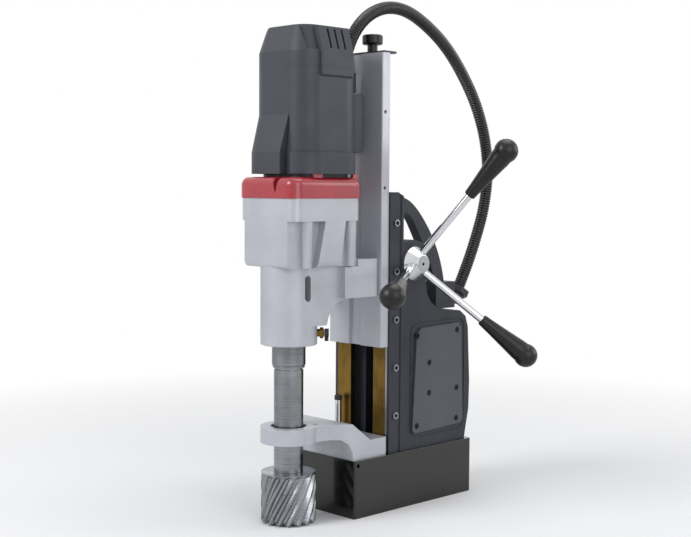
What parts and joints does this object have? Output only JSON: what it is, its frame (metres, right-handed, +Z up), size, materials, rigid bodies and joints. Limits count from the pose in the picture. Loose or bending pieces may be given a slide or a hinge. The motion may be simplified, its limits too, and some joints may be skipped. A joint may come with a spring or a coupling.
{
  "type": "magnetic drill press",
  "caption": "Drill press on a switchable magnet foot, with a motor on a dovetail slide, a capstan feed and an annular cutter.",
  "frame": {"origin": "centre of the magnet's bottom face", "axes": "+Z up along the feed and the spindle, -Y towards the spindle, +X towards the capstan"},
  "size_m": [0.2339, 0.4035, 0.62],
  "materials": {
    "black_lacquer": "gloss black stoved enamel",
    "graphite_paint": "fine textured powder coat",
    "plate_paint": "satin paint",
    "silver_paint": "satin silver paint on cast aluminium",
    "machined_aluminium": "machined",
    "bright_steel": "ground",
    "dark_steel": "black oxide",
    "chromed_steel": "polished",
    "rolled_brass": "drawn",
    "copper_winding": "enamelled wire",
    "motor_plastic": "moulded, fine texture",
    "red_paint": "gloss paint",
    "black_plastic": "moulded, satin",
    "conduit_plastic": "corrugated",
    "nitrile_rubber": "matt",
    "green_plastic": "moulded",
    "red_plastic": "moulded",
    "amber_plastic": "moulded, clear",
    "circuit_board": "solder mask",
    "laminated_iron": "stamped laminations",
    "tool_steel": "ground high-speed steel"
  },
  "bodies": {
    "stand": {"magnet_housing": "black_lacquer", "magnet_core": "bright_steel", "magnet_coil": "copper_winding", "support_arm": "silver_paint", "foot_screws": "dark_steel", "stop_pin": "chromed_steel", "stop_bumper": "nitrile_rubber", "stand_frame": "graphite_paint", "left_gib": "rolled_brass", "right_gib": "rolled_brass", "gib_strip": "bright_steel", "gib_screws": "dark_steel", "gib_nuts": "bright_steel", "side_cover": "plate_paint", "side_cover_screws": "dark_steel", "control_panel": "plate_paint", "rocker_frame": "black_plastic", "indicator_lamp": "amber_plastic", "control_board": "circuit_board", "junction_box": "graphite_paint", "cable_glands": "black_plastic", "pinion_bushes": "dark_steel"},
    "head": {"ram": "silver_paint", "rack": "bright_steel", "rack_screws": "dark_steel", "ram_bolts": "dark_steel", "top_plate": "black_plastic", "gear_housing": "silver_paint", "head_screws": "dark_steel", "motor_flange_ring": "red_paint", "motor_housing": "motor_plastic", "motor_cap": "motor_plastic", "motor_gland": "black_plastic", "electronics_box": "motor_plastic", "field_stator": "laminated_iron", "brush_holders": "rolled_brass", "bearings": "bright_steel", "gear_plate": "machined_aluminium", "coolant_fitting": "rolled_brass", "conduit": "conduit_plastic"},
    "knob": {"top_knob": "black_plastic"},
    "capstan": {"pinion_shaft": "bright_steel", "capstan_hub": "machined_aluminium", "hub_screw": "dark_steel", "capstan_rods": "chromed_steel", "capstan_grips": "black_plastic"},
    "spindle": {"spindle": "bright_steel", "arbor": "bright_steel", "arbor_set_screws": "dark_steel", "annular_cutter": "tool_steel"},
    "pilot": {"pilot_pin": "bright_steel"},
    "layshaft": {"layshaft": "bright_steel"},
    "armature": {"armature": "laminated_iron", "cooling_fan": "black_plastic"},
    "coolant_tap": {"coolant_lever": "black_plastic"},
    "start": {"start_button": "green_plastic"},
    "stop": {"stop_button": "red_plastic"},
    "rocker": {"magnet_rocker": "black_plastic"},
    "dial": {"speed_dial": "black_plastic"},
    "selector": {"speed_selector": "black_plastic"}
  },
  "joints": [
    {"name": "feed", "type": "slide", "parent": "stand", "child": "head", "axis": [0, 0, 1], "range_m": [-0.066, 0.034], "deforming": ["conduit"]},
    {"name": "capstan_turn", "type": "hinge", "parent": "stand", "child": "capstan", "pos_m": [0, 0, 0.298], "axis": [-1, 0, 0], "range_deg": [-316, 163]},
    {"name": "knob_turn", "type": "hinge", "parent": "head", "child": "knob", "pos_m": [0, -0.029, 0.56], "axis": [0, 0, 1], "range_deg": [0, 180]},
    {"name": "spindle_turn", "type": "hinge", "parent": "head", "child": "spindle", "pos_m": [0, -0.164, 0.25], "axis": [0, 0, 1], "continuous": true},
    {"name": "layshaft_turn", "type": "hinge", "parent": "head", "child": "layshaft", "pos_m": [0.02, -0.135, 0.34], "axis": [0, 0, 1], "continuous": true},
    {"name": "armature_turn", "type": "hinge", "parent": "head", "child": "armature", "pos_m": [0, -0.138, 0.45], "axis": [0, 0, 1], "continuous": true},
    {"name": "pilot_slide", "type": "slide", "parent": "spindle", "child": "pilot", "axis": [0, 0, 1], "range_m": [0, 0.012], "stiffness_N_per_m": 100, "springref_m": -0.01},
    {"name": "coolant_tap_turn", "type": "hinge", "parent": "head", "child": "coolant_tap", "pos_m": [0.01909, -0.14491, 0.222], "axis": [0.7071, 0.7071, 0], "range_deg": [0, 90]},
    {"name": "start_press", "type": "slide", "parent": "stand", "child": "start", "axis": [1, 0, 0], "range_m": [0, 0.0025], "stiffness_N_per_m": 600, "springref_m": -0.001},
    {"name": "stop_press", "type": "slide", "parent": "stand", "child": "stop", "axis": [1, 0, 0], "range_m": [0, 0.003], "stiffness_N_per_m": 600, "springref_m": -0.001},
    {"name": "rocker_tilt", "type": "hinge", "parent": "stand", "child": "rocker", "pos_m": [-0.0565, 0.056, 0.118], "axis": [0, -1, 0], "range_deg": [0, 12]},
    {"name": "dial_turn", "type": "hinge", "parent": "stand", "child": "dial", "pos_m": [-0.062, 0.018, 0.196], "axis": [-1, 0, 0], "range_deg": [0, 270]},
    {"name": "selector_turn", "type": "hinge", "parent": "head", "child": "selector", "pos_m": [-0.052, -0.122, 0.34], "axis": [-1, 0, 0], "range_deg": [0, 180]}
  ],
  "couplings": [
    {"joint": "capstan_turn", "follows": "feed", "rad_per_m": 83.333},
    {"joint": "layshaft_turn", "follows": "spindle_turn", "ratio": -3.9423},
    {"joint": "armature_turn", "follows": "spindle_turn", "ratio": 13.39}
  ]
}
